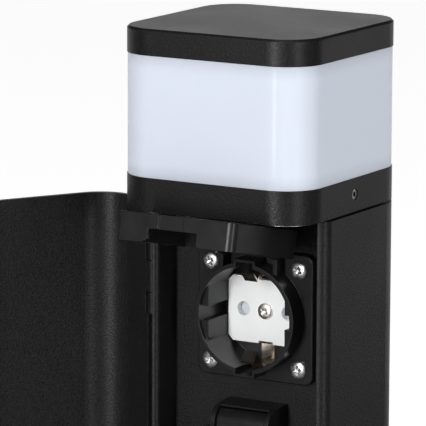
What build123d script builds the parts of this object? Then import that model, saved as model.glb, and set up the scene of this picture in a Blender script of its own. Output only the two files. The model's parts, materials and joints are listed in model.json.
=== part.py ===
from build123d import *
from math import cos, radians, sin
import os

# Garden socket post: a square post with an opal lamp head, a recessed panel with two earthed sockets
# under hinged lids, and a folded door that closes over them. Millimetres, +Z up, the front is -Y, and
# the origin is the middle of the base plate's underside. The door and the upper lid stand open.

os.makedirs("parts", exist_ok=True)

# Driving dimensions of the post and its head
total_height = 450.0
post_width = 80.0
corner_radius = 15.0
cap_height = 9.8
diffuser_height = 45.1
collar_height = 12.6
head_gap = 0.8
wall = 3.0
sheet = 2.0

# Driving dimensions of the base
base_width = 120.0
base_thickness = 6.0
base_corner = 8.0
anchor_pitch = 96.0
anchor_radius = 4.5

# Section of the post: walls, and how far parts lie behind the front face
nose_inset = 18.7
nose_radius = 4.0
lip_inset = 24.5
lip_wall = 4.8
lip_radius = 2.3
rebate_inset = 30.5
rebate_depth = 2.4
side_wall = 4.0
side_land = 3.7
groove_depth = 2.0
groove_play = 0.2
port_inset = 9.5
port_land = 7.7
port_web = 2.4
port_radius = 3.8
port_bore = 1.7

# Panel and flange of the sockets
recess_depth = 35.0
flange_thickness = 2.5
gasket_thickness = 0.8
panel_thickness = 2.0
panel_tuck = 1.5
top_play = 0.7

# Door and its hinge
door_opening = 121.0
door_play = 2.1
door_lift = 2.5
door_latch_inset = 18.0
hinge_inset = 29.5
return_gap = 0.5
cover_gap = 0.5
knuckle_radius = 2.0
knuckle_swing = 2.4
knuckle_web = 2.5
door_pin_radius = 1.0
door_pin_play = 0.05
knuckle_half = 6.0
knuckle_length = 8.0
knuckle_gap = 0.3
hinge_drop = 30.5
hinge_rise = 30.0
cable_slot_width = 26.0
cable_slot_height = 13.0
cable_slot_corner = 5.0

# Lower cover and compartment floor
foot_space = 35.9
floor_lip = 14.0
floor_inset = 0.4
cover_screw_inset = 5.0
cover_screw_drop = 7.0
cover_screw_radius = 2.0
cover_screw_head = 3.8
cover_screw_length = 8.0
countersink_angle = 90.0
pan_taper = 22.0

# Sockets
socket_count = 2
socket_gap = 20.8
hood_clearance = 14.0
socket_x = 1.0
flange_width = 49.2
flange_corner = 3.5
flange_edge = 0.4
screw_inset = 5.8
flange_screw_radius = 1.6
flange_screw_head = 3.3
flange_screw_height = 1.7
flange_screw_length = 9.0
cross_length = 3.2
cross_width = 0.7
cross_depth = 1.0
ring_inset = 3.6
ring_stand = 8.6
ring_wall = 1.6
key_width = 9.0
key_rise = 1.2
key_channel_width = 7.2
key_channel_rise = 0.2
rear_inset = 2.7
rear_depth = 30.0
rear_play = 0.7
well_depth = 10.5
rib_gap = 0.2
rib_low = 2.7
rib_high = 10.4
rib_front = 6.6
rib_root_depth = 0.8

# Insert, shutter and contacts
insert_side_gap = 3.3
insert_end_gap = 6.8
insert_play = 0.1
insert_chamfer = 2.1
insert_thickness = 2.5
insert_notch_width = 6.0
insert_notch_depth = 0.9
pin_inset = 6.6
pin_hole_radius = 2.7
pocket_inset = 6.0
pocket_depth = 2.2
shutter_thickness = 1.6
shutter_hub = 4.0
shutter_bar = 5.0
shutter_lobe = 3.3
shutter_play = 0.06
centre_screw_radius = 1.5
centre_screw_head = 3.0
centre_screw_height = 1.4
centre_screw_length = 8.0
contact_radius = 3.5
contact_bore = 2.45
contact_length = 14.0
clip_width = 5.4
clip_thickness = 0.6
clip_insert_gap = 0.2
clip_foot_gap = 0.1
clip_root_gap = 0.9
clip_root_rise = 1.7
clip_bend = 8.5
clip_bump_reach = 5.7
clip_bump_rise = 13.5
clip_tip_reach = 2.4
clip_tip_rise = 16.5

# Lid and its hood
lid_side_inset = 0.6
lid_length_inset = 0.7
lid_corner = 3.0
lid_corner_left = 0.8
lid_face = 13.0
lid_skirt = 10.6
lid_plate = 2.0
lid_wall = 1.5
lid_axis_gap = 3.4
lid_axis_stand = 6.2
lid_below_axis = 4.6
lid_opening = 102.6
lid_edge = 0.4
lid_notch_left = 11.4
lid_notch_right = 8.8
lid_notch_depth = 5.2
lid_notch_left_corner = 3.5
lid_notch_right_corner = 1.6
grip_left = 7.5
grip_right = 3.0
grip_depth = 0.5
arm_half = 10.2
arm_high_angle = 75.0
arm_eye = 1.6
arm_neck = 0.8
arm_neck_high = 4.5
arm_neck_low = 6.0
lid_pin_radius = 1.5
lid_pin_play = 0.06
hood_radius = 6.7
hood_back = 0.9
hood_rise = 1.6
hood_top = 8.8
hood_shell = 0.9
hood_play = 0.4
cheek = 1.7
cheek_low_angle = -50.0
cheek_shoulder = 5.1
cheek_foot = 11.5
cheek_foot_stand = 5.7
web_angle = 76.0
lid_slot_play = 0.5
lid_slot_depth = 3.0
seal_thickness = 2.0
seal_over = 0.5
seal_under = 1.8

# Head inside
collar_wall = 2.6
collar_flange = 2.5
flange_ring = 8.0
diffuser_inset = 0.25
diffuser_wall = 3.0
gasket_inset = 0.8
ring_width = 2.0
ring_depth = 1.0
cap_wall = 3.0
cap_top = 3.0
cap_edge = 0.8
tray_play = 0.4
tray_wall = 2.5
tray_floor = 3.0
head_seat = 0.3
rod_inset = 12.5
rod_radius = 2.0
boss_radius = 4.2
boss_depth = 5.0
rod_nut_radius = 3.6
rod_nut_height = 2.4
grub_radius = 2.0
grub_socket = 1.15
grub_socket_depth = 2.0
grub_height = 6.5
grub_mouth = 0.35
tray_screw_radius = 1.7
tray_screw_head = 3.3
tray_screw_length = 10.0
holder_radius = 11.0
holder_height = 14.0
lamp_radius = 8.0
lamp_height = 48.0

# Wiring space and base fittings
gland_inset = 18.0
gland_thread = 10.0
gland_bore = 5.0
gland_hex = 13.0
gland_flange_height = 7.0
gland_dome_height = 14.0
gland_taper = 12.0
foot_screw_radius = 1.7
foot_screw_head = 3.4
foot_screw_length = 14.0
terminal_drop = 90.0
terminal_width = 46.0
terminal_height = 20.0
terminal_depth = 18.0
terminal_base = 10.0
terminal_cells = 3
terminal_cell = 10.0
terminal_step = 2.5
terminal_screw_pitch = 8.0
terminal_screw_depth = 6.0
terminal_screw = 2.4
wire_hole_radius = 9.0
wire_hole_drop = 45.0
magnet_rise = 18.0
keeper_play = 1.0
magnet_width = 9.0
magnet_height = 14.0
magnet_gap = 0.5
keeper_thickness = 1.2
keeper_width = 14.0
keeper_height = 18.0
overrun = 5.0
quarter_turn = 90.0
hex_sides = 6

# Levels and faces worked out from those
half = post_width / 2
nose_front = half - nose_inset
lip_front = half - lip_inset
rebate_front = half - rebate_inset
hinge_front = half - hinge_inset
door_latch_front = half - door_latch_inset
flange_front = half - recess_depth
gland_y = half - gland_inset
side_inner = half - side_wall
lip_inner = half - lip_wall
port_x = half - port_inset
port_rear_y = half - port_inset
rod_offset = half - rod_inset
cover_screw_x = half - corner_radius - cover_screw_inset
magnet_x = half - corner_radius - keeper_width / 2 - keeper_play
cap_bottom = total_height - cap_height
diffuser_bottom = cap_bottom - diffuser_height
collar_bottom = diffuser_bottom - collar_height
post_top = collar_bottom - head_gap
post_height = post_top - base_thickness
panel_front = flange_front - flange_thickness - gasket_thickness
panel_stand = flange_front - panel_front
panel_back = panel_thickness - panel_front
side_back = panel_back + side_land
port_front_y = panel_back + port_land
panel_top = post_top - top_play
lid_axis_rise = flange_width / 2 + lid_axis_gap
socket_top = collar_bottom - hood_clearance - lid_axis_rise
socket_levels = [socket_top - n * (flange_width + socket_gap) for n in range(socket_count)]
floor_top = socket_levels[-1] - flange_width / 2 - foot_space
door_bottom = floor_top + door_lift
door_top = collar_bottom - door_play
hinge_heights = (collar_bottom - hinge_drop, floor_top + hinge_rise)
magnet_z = floor_top + magnet_rise
terminal_z = floor_top - terminal_drop
wire_hole_z = floor_top - wire_hole_drop
door_height = door_top - door_bottom
cover_top = floor_top - sheet - cover_gap
axis_y = -(flange_front + lid_axis_stand)
hinge_point = (-half, -hinge_front)
knuckle_reach = knuckle_half + knuckle_gap + knuckle_length
screw_offset = flange_width / 2 - screw_inset
ring_radius = flange_width / 2 - ring_inset
rear_radius = flange_width / 2 - rear_inset
well_radius = ring_radius - ring_wall
key_reach = ring_radius + key_rise
key_channel_reach = ring_radius + key_channel_rise
rib_root = well_radius + rib_root_depth
insert_width = 2 * (well_radius - insert_side_gap)
insert_height = 2 * (well_radius - insert_end_gap)
insert_front = insert_thickness - well_depth
pin_pitch = insert_width - 2 * pin_inset
pocket_radius = well_radius - pocket_inset
rib_inner = insert_width / 2 + rib_gap
clip_foot_inner = insert_height / 2 + clip_insert_gap
clip_foot_outer = well_radius - clip_foot_gap
clip_root = key_channel_reach - clip_root_gap
clip_bump = well_radius - clip_bump_reach
clip_tip = well_radius - clip_tip_reach
lid_width = flange_width - 2 * lid_side_inset
lid_length = flange_width - lid_length_inset
seal_outer = ring_radius + seal_over
seal_inner = ring_radius - seal_under
lid_openings = (lid_opening, 0.0)
hood_inner = hood_radius - hood_shell
hood_centre = (-hood_back, hood_rise)
hood_seat = -(lid_axis_stand + panel_stand)
arm_radius = hood_inner - hood_play


def facing(y, z, opening=0.0, x=0.0):
    """A plane that faces the front, its x to the right and its y up, tipped back by an opening."""
    tilt = radians(opening)
    return Plane(origin=(x, y, z), x_dir=(1, 0, 0), z_dir=(0, -cos(tilt), sin(tilt)))


def across(plane, shift=0.0):
    """The plane at right angles to a facing one: its x runs forwards and its y up."""
    turned = Plane(origin=plane.origin, x_dir=plane.z_dir, z_dir=-plane.x_dir)
    return turned.offset(shift)


def area(x0, x1, y0, y1, mode=Mode.ADD):
    """A rectangle between two x and two y values."""
    with Locations(((x0 + x1) / 2, (y0 + y1) / 2)):
        Rectangle(abs(x1 - x0), abs(y1 - y0), mode=mode)


def outline(inset=0.0, mode=Mode.ADD):
    """The post's square with rounded corners, set in from its faces."""
    width = post_width - 2 * inset
    RectangleRounded(width, width, corner_radius - inset, mode=mode)


def polar(radius, angle):
    """The point at a radius and an angle."""
    return (radius * cos(radians(angle)), radius * sin(radians(angle)))


def round_corner(x, y, radius):
    """Takes the spandrel off a corner that points to the right and the front."""
    with BuildSketch(mode=Mode.PRIVATE) as spandrel:
        area(x - radius, x + overrun, y - overrun, y + radius)
        with Locations((x - radius, y + radius)):
            Circle(radius, mode=Mode.SUBTRACT)
    add(spandrel.sketch, mode=Mode.SUBTRACT)


def on_hood(radius, angle):
    """The point at a radius and an angle about the middle of a hinge hood's arc."""
    x, y = polar(radius, angle)
    return (x - hood_back, y + hood_rise)


def save(piece, name):
    """Label a finished piece and write its file."""
    piece.part.label = name
    export_step(piece.part, f"parts/{name}.step")


def cross_recess(plane):
    """The cross in a screw's head."""
    with BuildSketch(plane) as cross:
        Rectangle(cross_length, cross_width)
        Rectangle(cross_width, cross_length)
    extrude(cross.sketch, amount=-cross_depth, mode=Mode.SUBTRACT)


def shank_of(plane, radius, length):
    """A screw's shank, going in behind the plane."""
    with BuildSketch(plane) as shank:
        Circle(radius)
    extrude(shank.sketch, amount=-length)


def countersunk(plane, head, shank, length):
    """A countersunk screw with a cross recess, its head flush with the plane."""
    with BuildSketch(plane) as top:
        Circle(head)
    extrude(top.sketch, amount=-(head - shank), taper=countersink_angle / 2)
    shank_of(plane, shank, length)
    cross_recess(plane)


def pan_screw(plane, head, height, shank, length):
    """A pan head screw with a cross recess, standing on the plane."""
    with BuildSketch(plane) as seat:
        Circle(head)
    extrude(seat.sketch, amount=height, taper=pan_taper)
    shank_of(plane, shank, length)
    cross_recess(plane.offset(height))


# Post: an extruded profile with two front lips, grooves for the panel and four screw ports
port_places = (
    (-port_x, port_front_y),
    (port_x, port_front_y),
    (-port_x, port_rear_y),
    (port_x, port_rear_y),
)

with BuildPart() as post:
    with BuildSketch(Plane.XY.offset(base_thickness)) as section:
        outline()
        outline(wall, Mode.SUBTRACT)
        area(-half, half, -half, side_back, Mode.SUBTRACT)
        area(-half, -lip_inner, -lip_front, side_back)
        area(side_inner, half, -nose_front, side_back)
        area(-half, rebate_depth - half, -lip_front, -rebate_front, Mode.SUBTRACT)
        for face, deep in ((-lip_inner, -groove_depth), (side_inner, groove_depth)):
            area(face, face + deep, -panel_front - groove_play, panel_back, Mode.SUBTRACT)
        for x, y in port_places:
            area(x, (half - wall) * x / port_x, y - port_web / 2, y + port_web / 2)
        with Locations(*port_places):
            Circle(port_radius)
            Circle(port_bore, mode=Mode.SUBTRACT)
        round_corner(half, -nose_front, nose_radius)
        fillet(section.vertices().sort_by_distance((-lip_inner, -lip_front, base_thickness))[0], lip_radius)
    extrude(amount=post_height)
    for z in hinge_heights:
        with BuildSketch(Plane.XY.offset(z - knuckle_reach)):
            with Locations(hinge_point):
                Circle(knuckle_swing)
            area(-half, rebate_depth - half, -rebate_front, knuckle_web - hinge_front)
        extrude(amount=2 * knuckle_reach, mode=Mode.SUBTRACT)
save(post, "post_profile")


def sheet_section():
    """The folded U shared by the door and the lower cover, drawn from the door's hinge axis."""
    with Locations((half, hinge_front)):
        outline()
        outline(sheet, Mode.SUBTRACT)
    area(-overrun, half, -return_gap, post_width, Mode.SUBTRACT)
    area(half, post_width + overrun, hinge_front - door_latch_front, post_width, Mode.SUBTRACT)


def hinge_plane(z, opening=0.0):
    """A level plane with its origin on the door's hinge axis, turned with the door."""
    turn = radians(-opening)
    return Plane(origin=(*hinge_point, z), x_dir=(cos(turn), sin(turn), 0), z_dir=(0, 0, 1))


# Door, turned open about its hinge
with BuildPart() as door:
    with BuildSketch(hinge_plane(door_bottom, door_opening)):
        sheet_section()
    extrude(amount=door_height)
    for z in hinge_heights:
        with BuildSketch(hinge_plane(z - knuckle_reach - knuckle_gap, door_opening)):
            Circle(knuckle_swing)
            area(0, sheet, -knuckle_web, 0)
        extrude(amount=2 * (knuckle_reach + knuckle_gap), mode=Mode.SUBTRACT)
    slot_plane = hinge_plane(door_bottom, door_opening)
    slot_face = Plane(
        origin=slot_plane.from_local_coords((half, hinge_front - half - overrun, 0)),
        x_dir=slot_plane.x_dir,
        z_dir=-slot_plane.y_dir,
    )
    with BuildSketch(slot_face) as slot:
        Rectangle(cable_slot_width, 2 * cable_slot_height)
        fillet(slot.vertices(), cable_slot_corner)
    extrude(amount=-(sheet + 2 * overrun), mode=Mode.SUBTRACT)
save(door, "door")

# Knuckles of the door's two hinges, those on the post above and below the one on the door
with BuildPart() as post_knuckles:
    for z in hinge_heights:
        for low in (z + knuckle_half + knuckle_gap, z - knuckle_half - knuckle_gap - knuckle_length):
            with BuildSketch(hinge_plane(low)):
                Circle(knuckle_radius)
                area(0, rebate_depth, 0, knuckle_web)
                Circle(door_pin_radius, mode=Mode.SUBTRACT)
            extrude(amount=knuckle_length)
save(post_knuckles, "hinge_post_knuckles")

with BuildPart() as door_knuckles:
    for z in hinge_heights:
        with BuildSketch(hinge_plane(z - knuckle_half, door_opening)):
            Circle(knuckle_radius)
            area(0, sheet, -knuckle_web, 0)
            Circle(door_pin_radius + door_pin_play, mode=Mode.SUBTRACT)
        extrude(amount=2 * knuckle_half)
save(door_knuckles, "hinge_door_knuckles")

with BuildPart() as door_pins:
    for z in hinge_heights:
        with BuildSketch(hinge_plane(z - knuckle_reach)):
            Circle(door_pin_radius)
        extrude(amount=2 * knuckle_reach)
save(door_pins, "hinge_pins")

# Socket panel, a sheet that slides down the grooves and rests on the base plate
with BuildPart() as panel:
    with BuildSketch(Plane.XY.offset(base_thickness)):
        area(-lip_inner - panel_tuck, side_inner + panel_tuck, -panel_front, panel_back)
    extrude(amount=panel_top - base_thickness)
    for z in socket_levels:
        with BuildSketch(facing(-panel_front, z, x=socket_x)):
            Circle(rear_radius + rear_play)
            with GridLocations(2 * screw_offset, 2 * screw_offset, 2, 2):
                Circle(flange_screw_radius)
        extrude(amount=-panel_thickness, mode=Mode.SUBTRACT)
    with BuildSketch(facing(-panel_front, wire_hole_z)):
        Circle(wire_hole_radius)
    extrude(amount=-panel_thickness, mode=Mode.SUBTRACT)
save(panel, "socket_panel")

# Compartment floor, a shelf with a lip down the back of the cover and one down the panel
floor_front = half - sheet
floor_screw_z = floor_top - sheet - cover_screw_drop
with BuildPart() as floor:
    with BuildSketch(Plane.XY.offset(floor_top - sheet)):
        outline(sheet + floor_inset)
        area(-half, half, -panel_front, half, Mode.SUBTRACT)
        area(-half, -lip_inner + floor_inset, -lip_front - floor_inset, half, Mode.SUBTRACT)
        area(side_inner - floor_inset, half, -nose_front - floor_inset, half, Mode.SUBTRACT)
    extrude(amount=sheet)
    with BuildSketch(Plane.XY.offset(floor_top - floor_lip)):
        area(corner_radius - half, half - corner_radius, -floor_front, sheet - floor_front)
        area(corner_radius - half, half - corner_radius, -panel_front - sheet, -panel_front)
    extrude(amount=floor_lip)
    with BuildSketch(facing(-floor_front, floor_screw_z)):
        with GridLocations(2 * cover_screw_x, 0, 2, 1):
            Circle(cover_screw_radius)
    extrude(amount=-half, mode=Mode.SUBTRACT)
save(floor, "compartment_floor")

# Screws that hold the floor's rear lip to the panel
with BuildPart() as floor_screws:
    for x in (-cover_screw_x, cover_screw_x):
        spot = facing(-panel_front - sheet, floor_screw_z, x=x)
        pan_screw(spot, flange_screw_head, flange_screw_height, cover_screw_radius, sheet)
save(floor_screws, "floor_screws")

# Lower cover, screwed to the floor's front lip
with BuildPart() as cover:
    with BuildSketch(hinge_plane(base_thickness)):
        sheet_section()
    extrude(amount=cover_top - base_thickness)
    with Locations(facing(-half, floor_screw_z)):
        with GridLocations(2 * cover_screw_x, 0, 2, 1):
            CounterSinkHole(cover_screw_radius, cover_screw_head, counter_sink_angle=countersink_angle)
save(cover, "lower_cover")

with BuildPart() as cover_screws:
    for x in (-cover_screw_x, cover_screw_x):
        spot = facing(-half, floor_screw_z, x=x)
        countersunk(spot, cover_screw_head, cover_screw_radius, cover_screw_length)
save(cover_screws, "cover_screws")


def socket_front(z, stand=0.0):
    """The plane of one socket's flange, its origin in the middle, moved forwards by a stand."""
    return facing(-flange_front, z, x=socket_x).offset(stand)


def lid_frame(z, opening=0.0):
    """The plane through one lid's hinge axis, tipped back with the lid."""
    return facing(axis_y, z + lid_axis_rise, opening, socket_x)


def hood_cheek(plane):
    """One cheek of a hinge hood, seen from its side with the lid's axis in the middle."""
    seat = -lid_axis_stand
    foot_front = cheek_foot_stand - lid_axis_stand
    flange_top = flange_width / 2 - lid_axis_rise
    with BuildSketch(plane) as side:
        with BuildLine():
            Polyline(
                on_hood(hood_radius, quarter_turn),
                (hood_seat, hood_top),
                (hood_seat, flange_top),
                (seat, flange_top),
                (seat, -cheek_foot),
                (foot_front, -cheek_foot),
                (foot_front, -cheek_shoulder),
                on_hood(hood_radius, cheek_low_angle),
            )
            CenterArc(hood_centre, hood_radius, cheek_low_angle, quarter_turn - cheek_low_angle)
        make_face()
        Circle(lid_pin_radius, mode=Mode.SUBTRACT)
    extrude(side.sketch, amount=cheek)


def lid_square(inset=0.0):
    """The lid's square, set in from its faces, its left corners sharper than its right ones."""
    with BuildSketch(mode=Mode.PRIVATE) as square:
        Rectangle(lid_width - 2 * inset, lid_length - 2 * inset)
        if lid_corner > inset:
            fillet(square.vertices().group_by(Axis.X)[-1], lid_corner - inset)
        if lid_corner_left > inset:
            fillet(square.vertices().group_by(Axis.X)[0], lid_corner_left - inset)
    return square.sketch


for n, z in enumerate(socket_levels, start=1):
    opening = lid_openings[n - 1]
    frame = lid_frame(z)
    swung = lid_frame(z, opening)
    floor_stand = -well_depth

    # Housing: flange, ring with its keys, guide ribs, hinge hood and the body behind the panel
    with BuildPart() as housing:
        with BuildSketch(socket_front(z, -flange_thickness)):
            RectangleRounded(flange_width, flange_width, flange_corner)
        extrude(amount=flange_thickness)
        chamfer(housing.faces().sort_by(Axis.Y)[0].edges(), flange_edge)
        with BuildSketch(socket_front(z)):
            Circle(ring_radius)
            Rectangle(key_width, 2 * key_reach)
        extrude(amount=ring_stand)
        with BuildSketch(socket_front(z, -flange_thickness)):
            Circle(rear_radius)
        extrude(amount=flange_thickness - rear_depth)
        for shift in (arm_half + hood_play, -arm_half - hood_play - cheek):
            hood_cheek(across(frame, shift))
        with BuildSketch(across(frame)):
            with BuildLine():
                CenterArc(hood_centre, hood_radius, web_angle, quarter_turn - web_angle)
                Polyline(
                    on_hood(hood_radius, quarter_turn),
                    (hood_seat, hood_top),
                    (hood_seat, hood_top - hood_shell),
                    on_hood(hood_inner, quarter_turn),
                )
                CenterArc(hood_centre, hood_inner, quarter_turn, web_angle - quarter_turn)
                Line(on_hood(hood_inner, web_angle), on_hood(hood_radius, web_angle))
            make_face()
        extrude(amount=arm_half + hood_play, both=True)
        with BuildSketch(socket_front(z, ring_stand)):
            Circle(well_radius)
            Rectangle(key_channel_width, 2 * key_channel_reach)
        extrude(amount=-(ring_stand + well_depth), mode=Mode.SUBTRACT)
        with BuildSketch(socket_front(z, floor_stand)):
            for side in (-1, 1):
                for level in (-1, 1):
                    area(side * rib_inner, side * ring_radius, level * rib_low, level * rib_high)
            Circle(rib_root, mode=Mode.INTERSECT)
        extrude(amount=well_depth + rib_front)
        with BuildSketch(socket_front(z, floor_stand)):
            Circle(pocket_radius)
        extrude(amount=-pocket_depth, mode=Mode.SUBTRACT)
        with BuildSketch(socket_front(z, floor_stand - pocket_depth)):
            with GridLocations(pin_pitch, 0, 2, 1):
                Circle(contact_radius)
        extrude(amount=-contact_length, mode=Mode.SUBTRACT)
        with BuildSketch(socket_front(z, floor_stand - pocket_depth)):
            Circle(centre_screw_radius)
        extrude(amount=-centre_screw_length, mode=Mode.SUBTRACT)
        with BuildSketch(socket_front(z)):
            with GridLocations(2 * screw_offset, 2 * screw_offset, 2, 2):
                Circle(flange_screw_radius)
        extrude(amount=-flange_thickness, mode=Mode.SUBTRACT)
    save(housing, f"socket_{n}_housing")

    # Gasket between flange and panel
    with BuildPart() as gasket:
        with BuildSketch(socket_front(z, -flange_thickness)):
            gasket_width = flange_width - 2 * gasket_inset
            RectangleRounded(gasket_width, gasket_width, flange_corner - gasket_inset)
            Circle(rear_radius + rear_play, mode=Mode.SUBTRACT)
            with GridLocations(2 * screw_offset, 2 * screw_offset, 2, 2):
                Circle(flange_screw_radius, mode=Mode.SUBTRACT)
        extrude(amount=-gasket_thickness)
    save(gasket, f"socket_{n}_gasket")

    # Four pan head screws hold the flange to the panel
    with BuildPart() as screws:
        for x in (-screw_offset, screw_offset):
            for rise in (-screw_offset, screw_offset):
                pan_screw(
                    facing(-flange_front, z + rise, x=socket_x + x),
                    flange_screw_head,
                    flange_screw_height,
                    flange_screw_radius,
                    flange_screw_length,
                )
    save(screws, f"socket_{n}_screws")

    # White insert plate over the shutter
    with BuildPart() as insert:
        with BuildSketch(socket_front(z, floor_stand)) as plate:
            Rectangle(insert_width, insert_height)
            chamfer(plate.vertices(), insert_chamfer)
            Circle(well_radius - insert_play, mode=Mode.INTERSECT)
            with Locations((0, insert_height / 2), (0, -insert_height / 2)):
                Rectangle(insert_notch_width, 2 * insert_notch_depth, mode=Mode.SUBTRACT)
            with GridLocations(pin_pitch, 0, 2, 1):
                Circle(pin_hole_radius, mode=Mode.SUBTRACT)
            Circle(centre_screw_radius, mode=Mode.SUBTRACT)
        extrude(amount=insert_thickness)
    save(insert, f"socket_{n}_insert")

    # Screw that holds the insert and carries the shutter
    with BuildPart() as centre_screw:
        pan_screw(
            socket_front(z, insert_front),
            centre_screw_head,
            centre_screw_height,
            centre_screw_radius,
            insert_thickness + pocket_depth + centre_screw_length - centre_screw_height,
        )
    save(centre_screw, f"socket_{n}_insert_screw")

    # Shutter, a bar with a lobe behind each pin hole, turning on the insert's screw
    with BuildPart() as shutter:
        with BuildSketch(socket_front(z, floor_stand - (pocket_depth - shutter_thickness) / 2)):
            Circle(shutter_hub)
            Rectangle(pin_pitch, shutter_bar)
            with GridLocations(pin_pitch, 0, 2, 1):
                Circle(shutter_lobe)
            Circle(centre_screw_radius + shutter_play, mode=Mode.SUBTRACT)
        extrude(amount=-shutter_thickness)
    save(shutter, f"socket_{n}_shutter")

    # Pin contacts, two sleeves behind the shutter
    with BuildPart() as contacts:
        with BuildSketch(socket_front(z, floor_stand - pocket_depth)):
            with GridLocations(pin_pitch, 0, 2, 1):
                Circle(contact_radius)
                Circle(contact_bore, mode=Mode.SUBTRACT)
        extrude(amount=-contact_length)
    save(contacts, f"socket_{n}_contacts")

    # Earth clips, one bent strip in each key channel
    clip_floor = floor_stand + clip_thickness / 2
    with BuildPart() as clips:
        for side in (-1, 1):
            with BuildSketch(across(socket_front(z))):
                with BuildLine():
                    Polyline(
                        (clip_floor, side * clip_foot_inner),
                        (clip_floor, side * clip_foot_outer),
                        (clip_floor + clip_root_rise, side * clip_root),
                        (floor_stand + clip_bend, side * clip_root),
                        (floor_stand + clip_bump_rise, side * clip_bump),
                        (floor_stand + clip_tip_rise, side * clip_tip),
                    )
                trace(line_width=clip_thickness)
            extrude(amount=clip_width / 2, both=True)
    save(clips, f"socket_{n}_earth_clips")

    # Lid: a square cup with a finger notch, and an arm rolled round the hinge pin
    lid_middle = -(lid_below_axis + lid_length / 2)
    skirt_edge = lid_face - lid_skirt - lid_axis_stand
    plate_back = lid_face - lid_plate - lid_axis_stand
    slot_low = -(lid_below_axis + lid_slot_depth)
    cheek_side = arm_half + hood_play + cheek + lid_slot_play
    free_end = Plane(
        origin=swung.from_local_coords((0, -(lid_below_axis + lid_length), 0)),
        x_dir=swung.x_dir,
        z_dir=-swung.y_dir,
    )
    with BuildPart() as lid:
        with BuildSketch(swung.offset(skirt_edge)):
            with Locations((0, lid_middle)):
                add(lid_square())
        extrude(amount=lid_skirt)
        fillet(lid.faces().sort_by(Axis(swung.origin, swung.z_dir))[-1].edges(), lid_edge)
        with BuildSketch(swung.offset(skirt_edge)):
            with Locations((0, lid_middle)):
                add(lid_square(lid_wall))
        extrude(amount=lid_skirt - lid_plate, mode=Mode.SUBTRACT)
        with BuildSketch(swung.offset(skirt_edge)):
            area(-cheek_side, cheek_side, slot_low, 0)
        extrude(amount=lid_skirt - lid_plate, mode=Mode.SUBTRACT)
        with BuildSketch(swung.offset(skirt_edge)):
            area(arm_half, cheek_side, slot_low, 0)
            area(-arm_half, -cheek_side, slot_low, 0)
        extrude(amount=lid_skirt, mode=Mode.SUBTRACT)
        with BuildSketch(free_end):
            area(-lid_notch_left, lid_notch_right, skirt_edge, skirt_edge + lid_notch_depth)
            for edge, radius in (
                (-lid_notch_left, lid_notch_left_corner),
                (lid_notch_right, -lid_notch_right_corner),
            ):
                area(edge - radius, edge, skirt_edge, skirt_edge + abs(radius))
                with Locations((edge - radius, skirt_edge + abs(radius))):
                    Circle(abs(radius), mode=Mode.SUBTRACT)
        extrude(amount=-(lid_wall + lid_corner_left), mode=Mode.SUBTRACT)
        with BuildSketch(free_end):
            area(-grip_left, grip_right, skirt_edge, skirt_edge + lid_skirt)
        extrude(amount=-grip_depth, mode=Mode.SUBTRACT)
        with BuildSketch(across(swung)):
            with BuildLine():
                CenterArc(hood_centre, arm_radius, 0, arm_high_angle)
                Polyline(
                    on_hood(arm_radius, arm_high_angle),
                    (0, 0),
                    (0, -lid_pin_radius - arm_eye),
                    (plate_back, -arm_neck_low),
                    (plate_back + arm_neck, -arm_neck_low),
                    (plate_back + arm_neck, -arm_neck_high),
                    on_hood(arm_radius, 0),
                )
            make_face()
            Circle(lid_pin_radius + arm_eye)
            Circle(lid_pin_radius + lid_pin_play, mode=Mode.SUBTRACT)
        extrude(amount=arm_half, both=True)
    save(lid, f"socket_{n}_lid")

    # Seal inside the lid, over the ring's rim
    with BuildPart() as seal:
        with BuildSketch(swung.offset(plate_back)):
            with Locations((0, -lid_axis_rise)):
                Circle(seal_outer)
                Circle(seal_inner, mode=Mode.SUBTRACT)
        extrude(amount=-seal_thickness)
    save(seal, f"socket_{n}_lid_seal")

    # Hinge pin of the lid, held in the cheeks
    with BuildPart() as lid_pin:
        with BuildSketch(across(frame)):
            Circle(lid_pin_radius)
        extrude(amount=arm_half + hood_play + cheek, both=True)
    save(lid_pin, f"socket_{n}_lid_pin")

# Base plate with anchor holes, screw holes and the cable bore
with BuildPart() as base:
    with BuildSketch():
        RectangleRounded(base_width, base_width, base_corner)
    extrude(amount=base_thickness)
    with Locations(Plane.XY.offset(base_thickness)):
        with GridLocations(anchor_pitch, anchor_pitch, 2, 2):
            Hole(anchor_radius)
        with Locations((0, -gland_y)):
            Hole(gland_thread)
    with Locations(Plane(origin=(0, 0, 0), x_dir=(1, 0, 0), z_dir=(0, 0, -1))):
        with Locations(*[(x, -y) for x, y in port_places]):
            CounterSinkHole(foot_screw_radius, foot_screw_head, counter_sink_angle=countersink_angle)
save(base, "base_plate")

with BuildPart() as foot_screws:
    for x, y in port_places:
        countersunk(
            Plane(origin=(x, y, 0), x_dir=(1, 0, 0), z_dir=(0, 0, -1)),
            foot_screw_head,
            foot_screw_radius,
            foot_screw_length,
        )
save(foot_screws, "base_screws")

# Cable gland screwed into the base plate, and above it the dome nut that grips the cable
with BuildPart() as gland:
    with BuildSketch():
        with Locations((0, -gland_y)):
            Circle(gland_thread)
            Circle(gland_bore, mode=Mode.SUBTRACT)
    extrude(amount=base_thickness)
    with BuildSketch(Plane.XY.offset(base_thickness)):
        with Locations((0, -gland_y)):
            RegularPolygon(gland_hex, hex_sides)
            Circle(gland_bore, mode=Mode.SUBTRACT)
    extrude(amount=gland_flange_height)
save(gland, "cable_gland")

with BuildPart() as gland_nut:
    with BuildSketch(Plane.XY.offset(base_thickness + gland_flange_height)):
        with Locations((0, -gland_y)):
            RegularPolygon(gland_hex, hex_sides)
    extrude(amount=gland_dome_height, taper=gland_taper)
    with Locations((0, -gland_y, base_thickness + gland_flange_height + gland_dome_height)):
        Hole(gland_bore)
save(gland_nut, "gland_dome_nut")

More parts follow.
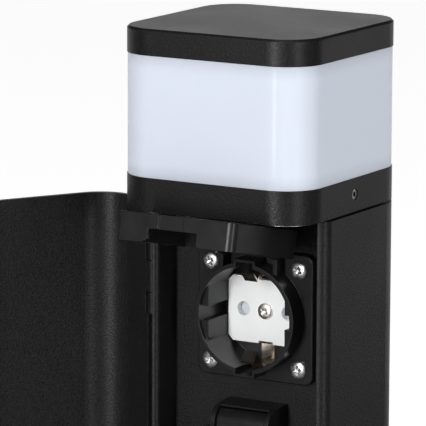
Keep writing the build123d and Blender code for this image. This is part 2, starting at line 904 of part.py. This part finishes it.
# Terminal block on the panel, for the supply cable
with BuildPart() as terminal:
    with BuildSketch(facing(-panel_front, terminal_z)):
        Rectangle(terminal_width, terminal_height)
    extrude(amount=terminal_base)
    with BuildSketch(facing(-panel_front, terminal_z)):
        with GridLocations(terminal_width / terminal_cells, 0, terminal_cells, 1):
            Rectangle(terminal_cell, terminal_height - 2 * terminal_step)
    extrude(amount=terminal_depth)
    with BuildSketch(facing(-panel_front - terminal_depth, terminal_z)):
        with GridLocations(terminal_width / terminal_cells, terminal_screw_pitch, terminal_cells, 2):
            Circle(terminal_screw)
    extrude(amount=-terminal_screw_depth, mode=Mode.SUBTRACT)
save(terminal, "terminal_block")

# Magnet catch on the panel and the keeper plate inside the door
magnet_reach = half - sheet - keeper_thickness - magnet_gap
with BuildPart() as magnet:
    with BuildSketch(facing(-panel_front, magnet_z, x=magnet_x)):
        Rectangle(magnet_width, magnet_height)
    extrude(amount=magnet_reach - panel_front)
save(magnet, "magnet_catch")

keeper_plane = hinge_plane(magnet_z - keeper_height / 2, door_opening)
with BuildPart() as keeper:
    with BuildSketch(keeper_plane):
        left = half + magnet_x - keeper_width / 2
        front = hinge_front - half + sheet
        area(left, left + keeper_width, front, front + keeper_thickness)
    extrude(amount=keeper_height)
save(keeper, "door_keeper")

# Head tray, the fixed spigot that the head sits over
tray_inset = collar_wall + tray_play
tray_height = diffuser_bottom - collar_flange - head_seat - post_top
with BuildPart() as tray:
    with BuildSketch(Plane.XY.offset(post_top)):
        outline(tray_inset)
    extrude(amount=tray_height)
    with BuildSketch(Plane.XY.offset(post_top + tray_floor)):
        outline(tray_inset + tray_wall)
    extrude(amount=tray_height, mode=Mode.SUBTRACT)
    with Locations(Plane.XY.offset(post_top + tray_floor)):
        with Locations(*port_places):
            CounterSinkHole(tray_screw_radius, tray_screw_head, counter_sink_angle=countersink_angle)
        with Locations((0, half / 2)):
            Hole(wire_hole_radius / 2)
save(tray, "head_tray")

with BuildPart() as tray_screws:
    for x, y in port_places:
        countersunk(
            Plane(origin=(x, y, post_top + tray_floor), x_dir=(1, 0, 0), z_dir=(0, 0, 1)),
            tray_screw_head,
            tray_screw_radius,
            tray_screw_length,
        )
save(tray_screws, "head_tray_screws")

# Lamp holder and the capsule lamp in it
lamp_low = post_top + tray_floor
with BuildPart() as holder:
    with BuildSketch(Plane.XY.offset(lamp_low)):
        Circle(holder_radius)
    extrude(amount=holder_height)
save(holder, "lamp_holder")

with BuildPart() as lamp:
    with BuildSketch(Plane.XY.offset(lamp_low + holder_height)):
        Circle(lamp_radius)
    extrude(amount=lamp_height - holder_height)
    fillet(lamp.faces().sort_by(Axis.Z)[-1].edges(), lamp_radius / 2)
save(lamp, "led_lamp")

# Collar: a square ring with a shelf for the diffuser and two set screws
rod_places = [(x, y) for x in (-rod_offset, rod_offset) for y in (-rod_offset, rod_offset)]
with BuildPart() as collar:
    with BuildSketch(Plane.XY.offset(collar_bottom)):
        outline()
    extrude(amount=collar_height)
    with BuildSketch(Plane.XY.offset(collar_bottom)):
        outline(collar_wall)
    extrude(amount=collar_height - collar_flange, mode=Mode.SUBTRACT)
    with BuildSketch(Plane.XY.offset(collar_bottom)):
        outline(flange_ring)
    extrude(amount=collar_height, mode=Mode.SUBTRACT)
    with BuildSketch(Plane.XY.offset(diffuser_bottom - collar_flange)):
        with Locations(*rod_places):
            Circle(boss_radius)
            Circle(rod_radius, mode=Mode.SUBTRACT)
    extrude(amount=collar_flange)
    with BuildSketch(Plane.XY.offset(diffuser_bottom)):
        outline(gasket_inset)
        outline(gasket_inset + ring_width, Mode.SUBTRACT)
    extrude(amount=-ring_depth, mode=Mode.SUBTRACT)
    for side in (-1, 1):
        with BuildSketch(Plane(origin=(side * half, 0, collar_bottom + grub_height), z_dir=(side, 0, 0))):
            Circle(grub_radius)
        extrude(amount=-collar_wall, mode=Mode.SUBTRACT)
save(collar, "collar")


def head_gasket(level):
    """A flat square ring that seals one end of the diffuser."""
    with BuildSketch(Plane.XY.offset(level)) as ring:
        outline(gasket_inset)
        outline(gasket_inset + ring_width, Mode.SUBTRACT)
    extrude(ring.sketch, amount=ring_depth)


with BuildPart() as lower_gasket:
    head_gasket(diffuser_bottom - ring_depth)
save(lower_gasket, "diffuser_gasket_lower")

with BuildPart() as upper_gasket:
    head_gasket(cap_bottom)
save(upper_gasket, "diffuser_gasket_upper")

# Diffuser, an open square tube
with BuildPart() as diffuser:
    with BuildSketch(Plane.XY.offset(diffuser_bottom)):
        outline(diffuser_inset)
        outline(diffuser_inset + diffuser_wall, Mode.SUBTRACT)
    extrude(amount=diffuser_height)
save(diffuser, "diffuser")

# Cap: a flat lid with a downward rim, a groove for the gasket and four bosses for the tie rods
with BuildPart() as cap:
    with BuildSketch(Plane.XY.offset(cap_bottom)):
        outline()
    extrude(amount=cap_height)
    chamfer(cap.faces().sort_by(Axis.Z)[-1].edges(), cap_edge)
    with BuildSketch(Plane.XY.offset(cap_bottom)):
        outline(cap_wall)
    extrude(amount=cap_height - cap_top, mode=Mode.SUBTRACT)
    with BuildSketch(Plane.XY.offset(cap_bottom)):
        outline(gasket_inset)
        outline(gasket_inset + ring_width, Mode.SUBTRACT)
    extrude(amount=ring_depth, mode=Mode.SUBTRACT)
    with BuildSketch(Plane.XY.offset(total_height - cap_top - boss_depth)):
        with Locations(*rod_places):
            Circle(boss_radius)
            Circle(rod_radius, mode=Mode.SUBTRACT)
    extrude(amount=boss_depth)
save(cap, "cap")

# Tie rods between collar and cap, each with a nut under the collar's shelf
rod_low = diffuser_bottom - collar_flange - rod_nut_height
with BuildPart() as rods:
    with BuildSketch(Plane.XY.offset(rod_low)):
        with Locations(*rod_places):
            Circle(rod_radius)
    extrude(amount=total_height - cap_top - rod_low)
    with BuildSketch(Plane.XY.offset(rod_low)):
        with Locations(*rod_places):
            RegularPolygon(rod_nut_radius, hex_sides)
    extrude(amount=rod_nut_height)
save(rods, "tie_rods")

# Set screws that lock the head on its tray
with BuildPart() as grubs:
    for side in (-1, 1):
        grub_place = (side * (half - grub_mouth), 0, collar_bottom + grub_height)
        mouth = Plane(origin=grub_place, z_dir=(side, 0, 0))
        with BuildSketch(mouth):
            Circle(grub_radius)
        extrude(amount=-(collar_wall - grub_mouth))
        with BuildSketch(mouth):
            RegularPolygon(grub_socket, hex_sides)
        extrude(amount=-grub_socket_depth, mode=Mode.SUBTRACT)
save(grubs, "set_screws")
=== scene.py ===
import json
import math

import bpy
import numpy as np
from mathutils import Matrix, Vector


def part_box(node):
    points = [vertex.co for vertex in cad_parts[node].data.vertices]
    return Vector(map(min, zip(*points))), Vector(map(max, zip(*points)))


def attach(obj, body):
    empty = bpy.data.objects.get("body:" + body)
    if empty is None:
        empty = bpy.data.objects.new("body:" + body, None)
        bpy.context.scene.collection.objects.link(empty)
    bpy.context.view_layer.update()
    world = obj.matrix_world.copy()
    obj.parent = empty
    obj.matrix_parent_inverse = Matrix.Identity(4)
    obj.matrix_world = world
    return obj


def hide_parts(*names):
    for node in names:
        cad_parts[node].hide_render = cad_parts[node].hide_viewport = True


# A garden socket post in black powder coat, with an opal lamp head, two earthed sockets and an open door.

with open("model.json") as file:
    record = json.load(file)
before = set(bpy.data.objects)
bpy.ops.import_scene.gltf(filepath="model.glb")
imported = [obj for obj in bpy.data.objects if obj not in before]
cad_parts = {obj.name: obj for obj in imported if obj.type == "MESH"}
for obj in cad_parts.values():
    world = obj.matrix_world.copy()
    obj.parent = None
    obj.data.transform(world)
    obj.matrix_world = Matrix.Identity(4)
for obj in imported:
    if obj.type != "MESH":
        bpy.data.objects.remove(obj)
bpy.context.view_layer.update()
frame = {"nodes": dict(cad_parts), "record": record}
nodes = frame["nodes"]

MM = 0.001

# Camera, fitted to the photograph's edges
EYE = (0.742804, -1.299598, 0.656030)
YAW = math.radians(30.42)
PITCH = math.radians(10.52)
ROLL = math.radians(0.21)
FOCAL_PIXELS = 4097.35
PICTURE_WIDTH = 426
SENSOR = 36.0
VIEW_END = 60.0


def camera():
    """The photograph's pinhole view: yaw from the front, pitch down and a slight roll."""
    back = np.array([
        math.sin(YAW) * math.cos(PITCH),
        -math.cos(YAW) * math.cos(PITCH),
        math.sin(PITCH),
    ])
    right = np.array([math.cos(YAW), math.sin(YAW), 0.0])
    up = np.cross(back, right)
    rolled_right = math.cos(ROLL) * right + math.sin(ROLL) * up
    rolled_up = -math.sin(ROLL) * right + math.cos(ROLL) * up
    placed = Matrix.Identity(4)
    for row in range(3):
        placed[row][0] = rolled_right[row]
        placed[row][1] = rolled_up[row]
        placed[row][2] = back[row]
        placed[row][3] = EYE[row]
    data = bpy.data.cameras.new("view")
    data.sensor_width = SENSOR
    data.lens = SENSOR * FOCAL_PIXELS / PICTURE_WIDTH
    data.clip_end = VIEW_END
    made = bpy.data.objects.new("view", data)
    made.matrix_world = placed
    bpy.context.collection.objects.link(made)
    bpy.context.scene.camera = made


camera()
bpy.context.scene.view_settings.view_transform = "Standard"


# Light, floor and backdrop. AMBIENT lights matt surfaces, and DIM_GLOSS is what gloss sees in its place.
AMBIENT = 0.24
DIM_GLOSS = 0.03
BACKDROP = 0.985
FLOOR_REACH = 12.0
FLOOR_ALBEDO = 0.80
FLOOR_FILL = 0.75
FLOOR_IN_GLOSS = 0.14
BEHIND_FROM = 0.85
BEHIND_FULL = 1.0
LAMP_AIM = 0.36


def node(tree, kind, settings=None, **inputs):
    """A shader node with its settings, and its inputs set by name with spaces as underscores."""
    made = tree.nodes.new(kind)
    for key, value in (settings or {}).items():
        setattr(made, key, value)
    for key, value in inputs.items():
        made.inputs[key.replace("_", " ")].default_value = value
    return made


def combined(tree, operation, first, second):
    """The product or the greater of two sockets."""
    made = node(tree, "ShaderNodeMath", {"operation": operation})
    tree.links.new(first, made.inputs[0])
    tree.links.new(second, made.inputs[1])
    return made.outputs[0]


def shown_white(tree, across):
    """Two sockets. The first is 1 for the eye and through glass, and for gloss where a place or direction lies
    behind the post as the photograph's view sees it: there the share of the vector across along that view rises
    from BEHIND_FROM to BEHIND_FULL. The second is 1 for all gloss."""
    path = tree.nodes.new("ShaderNodeLightPath")
    along = node(tree, "ShaderNodeVectorMath", {"operation": "DOT_PRODUCT"})
    along.inputs[1].default_value = (-math.sin(YAW), math.cos(YAW), 0.0)
    behind = node(
        tree, "ShaderNodeMapRange", {"interpolation_type": "SMOOTHSTEP"},
        From_Min=BEHIND_FROM, From_Max=BEHIND_FULL, To_Min=0.0, To_Max=1.0,
    )
    tree.links.new(across, along.inputs[0])
    tree.links.new(along.outputs["Value"], behind.inputs["Value"])
    gloss = combined(tree, "MULTIPLY", path.outputs["Is Glossy Ray"], behind.outputs["Result"])
    seen = combined(tree, "MAXIMUM", path.outputs["Is Camera Ray"], path.outputs["Is Transmission Ray"])
    return combined(tree, "MAXIMUM", seen, gloss), path.outputs["Is Glossy Ray"]


def backdrop():
    """A world that is white to the eye, through glass and to gloss behind the post, dim to gloss where the
    studio's front and sides would be, and a plain soft light for matt surfaces."""
    world = bpy.data.worlds.new("studio")
    bpy.context.scene.world = world
    world.use_nodes = True
    tree = world.node_tree
    tree.nodes.clear()
    place = tree.nodes.new("ShaderNodeTexCoord")
    white, glossy = shown_white(tree, place.outputs["Generated"])
    rest = node(tree, "ShaderNodeMapRange", To_Min=AMBIENT, To_Max=DIM_GLOSS)
    strength = node(tree, "ShaderNodeMapRange", To_Max=BACKDROP)
    shade = node(tree, "ShaderNodeBackground", Color=(1.0, 1.0, 1.0, 1.0))
    out = tree.nodes.new("ShaderNodeOutputWorld")
    link = tree.links.new
    link(glossy, rest.inputs["Value"])
    link(white, strength.inputs["Value"])
    link(rest.outputs["Result"], strength.inputs["To Min"])
    link(strength.outputs["Result"], shade.inputs["Strength"])
    link(shade.outputs["Background"], out.inputs["Surface"])


def floor():
    """A pale floor that keeps the shadows, lifted to the backdrop's white where the eye sees it, and darker to
    gloss."""
    corners = [(FLOOR_REACH * x, FLOOR_REACH * y, 0) for x, y in ((-1, -1), (1, -1), (1, 1), (-1, 1))]
    mesh = bpy.data.meshes.new("floor")
    mesh.from_pydata(corners, [], [(0, 1, 2, 3)])
    made = bpy.data.objects.new("floor", mesh)
    bpy.context.collection.objects.link(made)
    material = bpy.data.materials.new("floor")
    material.use_nodes = True
    tree = material.node_tree
    tree.nodes.clear()
    place = tree.nodes.new("ShaderNodeTexCoord")
    lift = node(tree, "ShaderNodeMath", {"operation": "MULTIPLY"})
    lift.inputs[1].default_value = FLOOR_FILL
    matt = node(tree, "ShaderNodeBsdfDiffuse")
    glow = node(tree, "ShaderNodeEmission", Color=(1.0, 1.0, 1.0, 1.0))
    both = tree.nodes.new("ShaderNodeAddShader")
    out = tree.nodes.new("ShaderNodeOutputMaterial")
    link = tree.links.new
    white, glossy = shown_white(tree, place.outputs["Object"])
    pale = node(tree, "ShaderNodeMapRange", To_Min=FLOOR_ALBEDO, To_Max=FLOOR_IN_GLOSS)
    link(glossy, pale.inputs["Value"])
    link(pale.outputs["Result"], matt.inputs["Color"])
    link(white, lift.inputs[0])
    link(lift.outputs[0], glow.inputs["Strength"])
    link(matt.outputs[0], both.inputs[0])
    link(glow.outputs[0], both.inputs[1])
    link(both.outputs[0], out.inputs["Surface"])
    mesh.materials.append(material)


def lamp(name, azimuth, height, distance, width, tall, power, in_gloss=True):
    """A soft box round the post: azimuth from the front towards +X, aimed at the post's axis at LAMP_AIM."""
    turn = math.radians(azimuth)
    place = np.array([math.sin(turn) * distance, -math.cos(turn) * distance, height])
    back = place - np.array([0.0, 0.0, LAMP_AIM])
    back /= np.linalg.norm(back)
    right = np.cross([0.0, 0.0, 1.0], back)
    right /= np.linalg.norm(right)
    up = np.cross(back, right)
    data = bpy.data.lights.new(name, "AREA")
    data.shape = "RECTANGLE"
    data.size = width
    data.size_y = tall
    data.energy = power
    made = bpy.data.objects.new(name, data)
    made.matrix_world = Matrix([
        [right[0], up[0], back[0], place[0]],
        [right[1], up[1], back[1], place[1]],
        [right[2], up[2], back[2], place[2]],
        [0.0, 0.0, 0.0, 1.0],
    ])
    made.visible_camera = False
    made.visible_glossy = in_gloss
    bpy.context.collection.objects.link(made)


backdrop()
floor()
lamp("front_strip", azimuth=-4.0, height=0.66, distance=1.5, width=0.17, tall=1.1, power=14.0)
lamp("right_strip", azimuth=61.0, height=0.55, distance=1.5, width=0.2, tall=1.1, power=6.0)
lamp("front_box", azimuth=6.0, height=0.85, distance=1.6, width=1.0, tall=0.9, power=4.0)
lamp("right_box", azimuth=90.0, height=0.9, distance=1.6, width=0.9, tall=0.9, power=8.0, in_gloss=False)
lamp("top_box", azimuth=10.0, height=1.7, distance=0.5, width=0.9, tall=0.9, power=3.0)


# Materials. Noise runs from about NOISE_LOW to NOISE_HIGH.
NOISE_LOW = 0.3
NOISE_HIGH = 0.7
EDGE_SAMPLES = 8


def noise_range(tree, low, high):
    """Spreads a noise over low to high."""
    return node(
        tree, "ShaderNodeMapRange", From_Min=NOISE_LOW, From_Max=NOISE_HIGH, To_Min=low, To_Max=high
    )


def surface(
    name, colour, roughness, metal=0.0, specular=0.5, speck=0.0, speck_size=0.5,
    cloud=0.0, cloud_size=30.0, bump=0.0, bump_size=0.5, spread=0.0, edge=0.0,
):
    """A finish: one colour varied by fine specks and broad clouds, roughness that wanders, a fine bump and
    softly rounded edges. Sizes are millimetres on the object; speck, cloud and spread are shares of the
    value."""
    material = bpy.data.materials.new(name)
    material.use_nodes = True
    tree = material.node_tree
    link = tree.links.new
    shade = tree.nodes["Principled BSDF"]
    shade.inputs["Metallic"].default_value = metal
    shade.inputs["Specular IOR Level"].default_value = specular
    place = tree.nodes.new("ShaderNodeTexCoord")
    fine = node(tree, "ShaderNodeTexNoise", Scale=1 / (speck_size * MM), Detail=2.0)
    broad = node(tree, "ShaderNodeTexNoise", Scale=1 / (cloud_size * MM), Detail=3.0)
    link(place.outputs["Object"], fine.inputs["Vector"])
    link(place.outputs["Object"], broad.inputs["Vector"])
    fine_part = noise_range(tree, -speck, speck)
    broad_part = noise_range(tree, 1 - cloud, 1 + cloud)
    total = node(tree, "ShaderNodeMath", {"operation": "ADD"})
    tint = node(tree, "ShaderNodeVectorMath", {"operation": "SCALE"})
    tint.inputs[0].default_value = colour
    link(fine.outputs["Fac"], fine_part.inputs["Value"])
    link(broad.outputs["Fac"], broad_part.inputs["Value"])
    link(fine_part.outputs["Result"], total.inputs[0])
    link(broad_part.outputs["Result"], total.inputs[1])
    link(total.outputs[0], tint.inputs["Scale"])
    link(tint.outputs["Vector"], shade.inputs["Base Color"])
    wander = noise_range(tree, roughness * (1 - spread), roughness * (1 + spread))
    link(broad.outputs["Fac"], wander.inputs["Value"])
    link(wander.outputs["Result"], shade.inputs["Roughness"])
    if bump:
        grain = node(tree, "ShaderNodeTexNoise", Scale=1 / (bump_size * MM), Detail=1.0)
        relief = node(tree, "ShaderNodeBump", Distance=bump * MM)
        link(place.outputs["Object"], grain.inputs["Vector"])
        link(grain.outputs["Fac"], relief.inputs["Height"])
        link(relief.outputs["Normal"], shade.inputs["Normal"])
        if edge:
            rounding = node(tree, "ShaderNodeBevel", {"samples": EDGE_SAMPLES}, Radius=edge * MM)
            link(rounding.outputs["Normal"], relief.inputs["Normal"])
    return material


OPAL_DEPTH = 4 * MM
OPAL_SCATTER = 0.15
# Painted shade on the opal near its two ends: where it begins inside each end, how far it runs past the end,
# and the colour's factor there.
RIM_START = 6 * MM
RIM_OVERRUN = 1 * MM
RIM_SHADE = 0.82


def opal_with_painted_rim_shade():
    """Opal acrylic with painted shade: its colour is darker by the rim shade factor near its two ends, where
    the rims cover it.
    """
    material = surface(
        "opal", (0.58, 0.62, 0.70), 0.14, specular=0.07, cloud=0.006, cloud_size=40.0, spread=0.1,
    )
    tree = material.node_tree
    shade = tree.nodes["Principled BSDF"]
    shade.inputs["Subsurface Weight"].default_value = OPAL_SCATTER
    shade.inputs["Subsurface Radius"].default_value = (1.0, 1.0, 1.0)
    shade.inputs["Subsurface Scale"].default_value = OPAL_DEPTH
    low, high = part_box("diffuser")
    place = next(n for n in tree.nodes if n.type == "TEX_COORD")
    parts = tree.nodes.new("ShaderNodeSeparateXYZ")
    middle = (low[2] + high[2]) / 2
    away = node(tree, "ShaderNodeMath", {"operation": "SUBTRACT"})
    away.inputs[1].default_value = middle
    size = node(tree, "ShaderNodeMath", {"operation": "ABSOLUTE"})
    reach = (high[2] - low[2]) / 2
    # Painted shade: the colour's factor falls from 1 to RIM_SHADE towards each end.
    edge = node(
        tree, "ShaderNodeMapRange", {"interpolation_type": "SMOOTHSTEP"},
        From_Min=reach - RIM_START, From_Max=reach + RIM_OVERRUN, To_Min=1.0, To_Max=RIM_SHADE,
    )
    paint_rim_shade = node(tree, "ShaderNodeVectorMath", {"operation": "SCALE"})
    link = tree.links.new
    link(place.outputs["Object"], parts.inputs["Vector"])
    link(parts.outputs["Z"], away.inputs[0])
    link(away.outputs[0], size.inputs[0])
    link(size.outputs[0], edge.inputs["Value"])
    link(edge.outputs["Result"], paint_rim_shade.inputs["Scale"])
    before = shade.inputs["Base Color"].links[0].from_socket
    link(before, paint_rim_shade.inputs[0])
    link(paint_rim_shade.outputs["Vector"], shade.inputs["Base Color"])
    return material


FINISHES = {
    "powder_coat": surface(
        "powder_coat", (0.0085, 0.0085, 0.0093), 0.4, specular=0.3, speck=0.5, speck_size=0.8,
        cloud=0.05, bump=0.08, bump_size=0.7, spread=0.06, edge=0.4,
    ),
    "opal": opal_with_painted_rim_shade(),
    "galvanised": surface(
        "galvanised", (0.42, 0.43, 0.44), 0.42, metal=1.0, speck=0.1, speck_size=3.0,
        cloud=0.12, cloud_size=7.0, bump=0.02, bump_size=1.2, spread=0.25,
    ),
    "zinc": surface(
        "zinc", (0.82, 0.82, 0.83), 0.33, metal=1.0, speck=0.06, speck_size=0.4, cloud=0.05, cloud_size=2.0,
        bump=0.004, bump_size=0.25, spread=0.3,
    ),
    "dark_steel": surface(
        "dark_steel", (0.55, 0.55, 0.56), 0.3, metal=1.0, speck=0.08, speck_size=0.3, bump=0.004, bump_size=0.2,
        spread=0.2,
    ),
    "rubber": surface(
        "rubber", (0.012, 0.012, 0.012), 0.75, specular=0.25, speck=0.2, speck_size=0.4,
        bump=0.02, bump_size=0.4,
    ),
    "black_plastic": surface(
        "black_plastic", (0.0095, 0.0095, 0.0105), 0.32, specular=0.4, speck=0.08, speck_size=0.5, cloud=0.05,
        cloud_size=8.0, bump=0.006, bump_size=0.35, spread=0.12, edge=0.35,
    ),
    "white_plastic": surface(
        "white_plastic", (0.93, 0.935, 0.94), 0.32, specular=0.45, cloud=0.01, cloud_size=6.0, bump=0.003,
        bump_size=0.4, spread=0.1, edge=0.2,
    ),
    "grey_plastic": surface(
        "grey_plastic", (0.62, 0.66, 0.70), 0.4, specular=0.4, cloud=0.02, cloud_size=5.0, bump=0.003,
        bump_size=0.4, spread=0.1,
    ),
    "nickel": surface(
        "nickel", (0.95, 0.84, 0.70), 0.18, metal=1.0, speck=0.05, speck_size=0.4, cloud=0.08, cloud_size=2.5,
        bump=0.003, bump_size=0.2, spread=0.3,
    ),
    "pale_nickel": surface(
        "pale_nickel", (0.94, 0.90, 0.84), 0.36, metal=1.0, speck=0.05, speck_size=0.4,
        cloud=0.05, cloud_size=2.0, bump=0.003, bump_size=0.2, spread=0.2,
    ),
    "ceramic": surface("ceramic", (0.72, 0.70, 0.65), 0.25, cloud=0.03, cloud_size=6.0, spread=0.1),
    "lamp_plastic": surface("lamp_plastic", (0.86, 0.84, 0.78), 0.3, cloud=0.02, cloud_size=6.0, spread=0.1),
}

for part in frame["record"]["subparts"]:
    thing = nodes[part["node"]]
    thing.data.materials.clear()
    thing.data.materials.append(FINISHES[part["material_slot"]])


# Pan head screws with a cross recess
HEAD_RINGS = 26
HEAD_COLUMNS = 72
HEAD_FALL = 0.4
HEAD_POWER = 4
EDGE_SHARE = 0.12
CROSS_TURN = 0.6
CROSS_POWER = 0.6
SMOOTH_ANGLE = math.radians(35.0)


def grid_faces(rows, columns):
    """Quads of a closed turned surface, rows from pole to pole and columns round it, with a fan at each pole.
    Vertex 0 is the first pole and the last vertex is the other one."""
    ring = np.arange(columns)
    after = (ring + 1) % columns
    first = [(0, 1 + a, 1 + b) for a, b in zip(ring, after)]
    base = 1 + np.arange(rows - 1)[:, None] * columns
    quads = np.stack([base + ring, base + columns + ring, base + columns + after, base + after], axis=-1)
    end = 1 + rows * columns
    tail = end - columns
    last = [(end, tail + b, tail + a) for a, b in zip(ring, after)]
    return first + quads.reshape(-1, 4).tolist() + last


def screw_points(radius, height, shank, length, arm, half_width, depth, soft):
    """A screw's surface in its own frame, its seat at height 0: a dome of height times one less HEAD_FALL times
    the share of the radius to HEAD_POWER, less the cross recess, then the rim, the underside, the shank and its
    end. Rows run from the top's middle out."""
    turn = np.linspace(0.0, 2 * np.pi, HEAD_COLUMNS, endpoint=False)
    share = np.linspace(0.0, 1.0, HEAD_RINGS + 1)[1:, None]
    whole_row = np.ones(HEAD_COLUMNS)
    reach = radius * share * whole_row
    dome = height * (1.0 - HEAD_FALL * share ** HEAD_POWER) * whole_row
    u = reach * np.cos(turn + CROSS_TURN)
    v = reach * np.sin(turn + CROSS_TURN)

    def wing(a, b):
        """One bar of the cross: deep in the middle, rising to its ends, with steep sides."""
        side = np.clip((half_width + soft - np.abs(a)) / soft, 0.0, 1.0)
        along = np.clip((arm - np.abs(b)) / arm, 0.0, 1.0) ** CROSS_POWER
        return side * along

    dome = dome - depth * np.maximum(wing(u, v), wing(v, u))
    rim = np.array([(radius, EDGE_SHARE * height), (radius, 0.0), (shank, 0.0), (shank, -length)])
    reach = np.vstack([reach, rim[:, :1] * whole_row])
    level = np.vstack([dome, rim[:, 1:] * whole_row])
    points = np.stack([reach * np.cos(turn), reach * np.sin(turn), level], axis=-1).reshape(-1, 3)
    top = np.array([[0.0, 0.0, height - depth]])
    end = np.array([[0.0, 0.0, -length]])
    return np.vstack([top, points, end]), grid_faces(HEAD_RINGS + len(rim), HEAD_COLUMNS)


def joined(parts):
    """Several (points, faces) as one."""
    points = np.vstack([p for p, _ in parts])
    starts = np.cumsum([0] + [len(p) for p, _ in parts[:-1]])
    faces = [[int(v) + int(start) for v in face] for (_, group), start in zip(parts, starts) for face in group]
    return points, faces


def facing_front(screw, x, y, z, spin):
    """Turns a screw's own frame so that its head faces the front, and puts its seat's middle at a place."""
    points, faces = screw
    a, b, c = points.T
    turned_a = a * math.cos(spin) - b * math.sin(spin)
    turned_b = a * math.sin(spin) + b * math.cos(spin)
    return np.stack([turned_a + x, -c + y, turned_b + z], axis=-1), faces


def make_piece(name, shape, finish, body, replaced):
    """A mesh piece with its place in its mesh, that rides on a body and stands for a CAD node, which it hides.
    """
    points, faces = shape
    mesh = bpy.data.meshes.new(name)
    mesh.from_pydata(points.tolist(), [], faces, shade_flat=False)
    mesh.validate()
    mesh.materials.append(FINISHES[finish])
    made = bpy.data.objects.new(name, mesh)
    bpy.context.collection.objects.link(made)
    mesh.set_sharp_from_angle(angle=SMOOTH_ANGLE)
    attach(made, body)
    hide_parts(replaced)


FLANGE_SCREW = screw_points(
    radius=3.3 * MM, height=1.7 * MM, shank=1.6 * MM, length=9.0 * MM,
    arm=1.7 * MM, half_width=0.3 * MM, depth=0.8 * MM, soft=0.2 * MM,
)
INSERT_SCREW = screw_points(
    radius=3.0 * MM, height=1.4 * MM, shank=1.5 * MM, length=11.3 * MM,
    arm=1.5 * MM, half_width=0.28 * MM, depth=0.8 * MM, soft=0.18 * MM,
)
SCREW_OFFSET = 18.8 * MM
FLANGE_FRONT = -5 * MM
SPINS = {1: (0.35, 1.1, 0.7, 0.05), 2: (0.9, 0.2, 1.3, 0.55)}
CORNERS = [(side, end) for side in (-1, 1) for end in (-1, 1)]
MOUNTS = {mount["name"]: mount["pos_m"] for mount in frame["record"]["mounts"]}

for number, spins in SPINS.items():
    across, insert_front, level = MOUNTS[f"plug_{number}"]
    four = [
        facing_front(FLANGE_SCREW, across + side * SCREW_OFFSET, FLANGE_FRONT, level + end * SCREW_OFFSET, spin)
        for (side, end), spin in zip(CORNERS, spins)
    ]
    make_piece(f"flange_screws_{number}", joined(four), "zinc", "post", f"socket_{number}_screws")
    middle = facing_front(INSERT_SCREW, across, insert_front, level, spins[0] + spins[1])
    make_piece(
        f"insert_screw_{number}", middle, "pale_nickel", "post", f"socket_{number}_insert_screw"
    )
